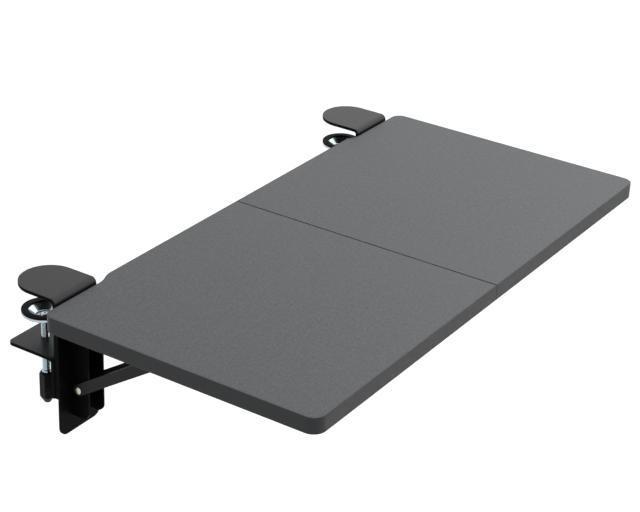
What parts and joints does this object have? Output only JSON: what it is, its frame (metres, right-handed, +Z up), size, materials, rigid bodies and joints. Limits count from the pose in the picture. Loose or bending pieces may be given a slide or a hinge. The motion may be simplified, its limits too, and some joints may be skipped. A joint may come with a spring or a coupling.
{
  "type": "keyboard tray",
  "caption": "Clamp-on keyboard tray: a flat two-panel board on two folding brackets with diagonal struts, each held to the desk edge by a screw clamp.",
  "frame": {"origin": "on the desk edge, midway between the two clamps, on the plane where the tongues rest on the desk", "axes": "+X along the tray's length, +Y from the user into the desk, +Z up"},
  "size_m": [0.61, 0.3633, 0.146],
  "materials": {
    "board": "fine pebbled charcoal grey film over fibreboard, matt",
    "edge_band": "charcoal grey edge band, matt",
    "jaw_paint": "fine-grained black powder coat, satin",
    "bracket_paint": "black powder coat, semi-gloss",
    "zinc": "bright zinc plating with a bluish cast",
    "steel": "plain bright steel",
    "rubber": "black rubber, matt",
    "plastic": "black moulded plastic, fine texture",
    "dowel_wood": "plain beech dowel"
  },
  "bodies": {
    "clamp_frames": {"left_upper_jaw": "jaw_paint", "left_lower_jaw": "jaw_paint", "left_thread_nut": "zinc", "left_clamp_bolts": "zinc", "left_clamp_nuts": "zinc", "left_back_plate": "bracket_paint", "left_upright": "bracket_paint", "left_hinge_pin": "steel", "left_strut_rivet": "steel", "right_upper_jaw": "jaw_paint", "right_lower_jaw": "jaw_paint", "right_thread_nut": "zinc", "right_clamp_bolts": "zinc", "right_clamp_nuts": "zinc", "right_back_plate": "bracket_paint", "right_upright": "bracket_paint", "right_hinge_pin": "steel", "right_strut_rivet": "steel"},
    "tray": {"left_panel": "board", "right_panel": "board", "left_edge_band": "edge_band", "right_edge_band": "edge_band", "joining_plates": "bracket_paint", "joining_screws": "zinc", "seam_dowels": "dowel_wood", "arm_screws": "zinc", "stop_studs": "steel", "left_arm": "bracket_paint", "right_arm": "bracket_paint"},
    "left_strut_link": {"left_strut": "bracket_paint", "left_strut_pin": "steel"},
    "left_slide_block": {"left_slider": "zinc", "left_slider_studs": "steel", "left_lever_spring": "steel"},
    "left_lever": {"left_release_lever": "bracket_paint", "left_lever_grip": "plastic"},
    "left_pad": {"left_pad_cup": "zinc", "left_pad_ring": "rubber"},
    "left_screw": {"left_spindle": "zinc", "left_handle": "plastic", "left_handle_pin": "steel"},
    "right_strut_link": {"right_strut": "bracket_paint", "right_strut_pin": "steel"},
    "right_slide_block": {"right_slider": "zinc", "right_slider_studs": "steel", "right_lever_spring": "steel"},
    "right_lever": {"right_release_lever": "bracket_paint", "right_lever_grip": "plastic"},
    "right_pad": {"right_pad_cup": "zinc", "right_pad_ring": "rubber"},
    "right_screw": {"right_spindle": "zinc", "right_handle": "plastic", "right_handle_pin": "steel"}
  },
  "joints": [
    {"name": "fold", "type": "hinge", "parent": "clamp_frames", "child": "tray", "pos_m": [0, -0.0155, -0.0305], "axis": [1, 0, 0], "range_deg": [0, 90]},
    {"name": "left_strut_turn", "type": "hinge", "parent": "clamp_frames", "child": "left_strut_link", "pos_m": [-0.255, -0.0155, -0.094], "axis": [1, 0, 0], "range_deg": [0, 123.53]},
    {"name": "left_slider_travel", "type": "slide", "parent": "tray", "child": "left_slide_block", "axis": [0, -1, 0], "range_m": [0, 0.08263]},
    {"name": "left_lever_press", "type": "hinge", "parent": "left_slide_block", "child": "left_lever", "pos_m": [-0.2352, -0.11138, -0.0305], "axis": [-1, 0, 0], "range_deg": [0, 12], "stiffness_Nm_per_rad": 0.05, "springref_deg": -20.05},
    {"name": "left_pad_travel", "type": "slide", "parent": "clamp_frames", "child": "left_pad", "axis": [0, 0, 1], "range_m": [-0.0185, 0.019]},
    {"name": "left_screw_turn", "type": "hinge", "parent": "left_pad", "child": "left_screw", "pos_m": [-0.255, 0.036, -0.06], "axis": [0, 0, 1], "range_deg": [-5329, 5473]},
    {"name": "right_strut_turn", "type": "hinge", "parent": "clamp_frames", "child": "right_strut_link", "pos_m": [0.255, -0.0155, -0.094], "axis": [1, 0, 0], "range_deg": [0, 123.53]},
    {"name": "right_slider_travel", "type": "slide", "parent": "tray", "child": "right_slide_block", "axis": [0, -1, 0], "range_m": [0, 0.08263]},
    {"name": "right_lever_press", "type": "hinge", "parent": "right_slide_block", "child": "right_lever", "pos_m": [0.2352, -0.11138, -0.0305], "axis": [-1, 0, 0], "range_deg": [0, 12], "stiffness_Nm_per_rad": 0.05, "springref_deg": -20.05},
    {"name": "right_pad_travel", "type": "slide", "parent": "clamp_frames", "child": "right_pad", "axis": [0, 0, 1], "range_m": [-0.0185, 0.019]},
    {"name": "right_screw_turn", "type": "hinge", "parent": "right_pad", "child": "right_screw", "pos_m": [0.255, 0.036, -0.06], "axis": [0, 0, 1], "range_deg": [-5329, 5473]}
  ],
  "couplings": [
    {"joint": "left_strut_turn", "follows": "fold", "ratio": 1.3724},
    {"joint": "left_slider_travel", "follows": "fold", "m_per_rad": 0.052598},
    {"joint": "left_screw_turn", "follows": "left_pad_travel", "rad_per_m": 5026.5},
    {"joint": "right_strut_turn", "follows": "fold", "ratio": 1.3724},
    {"joint": "right_slider_travel", "follows": "fold", "m_per_rad": 0.052598},
    {"joint": "right_screw_turn", "follows": "right_pad_travel", "rad_per_m": 5026.5}
  ]
}
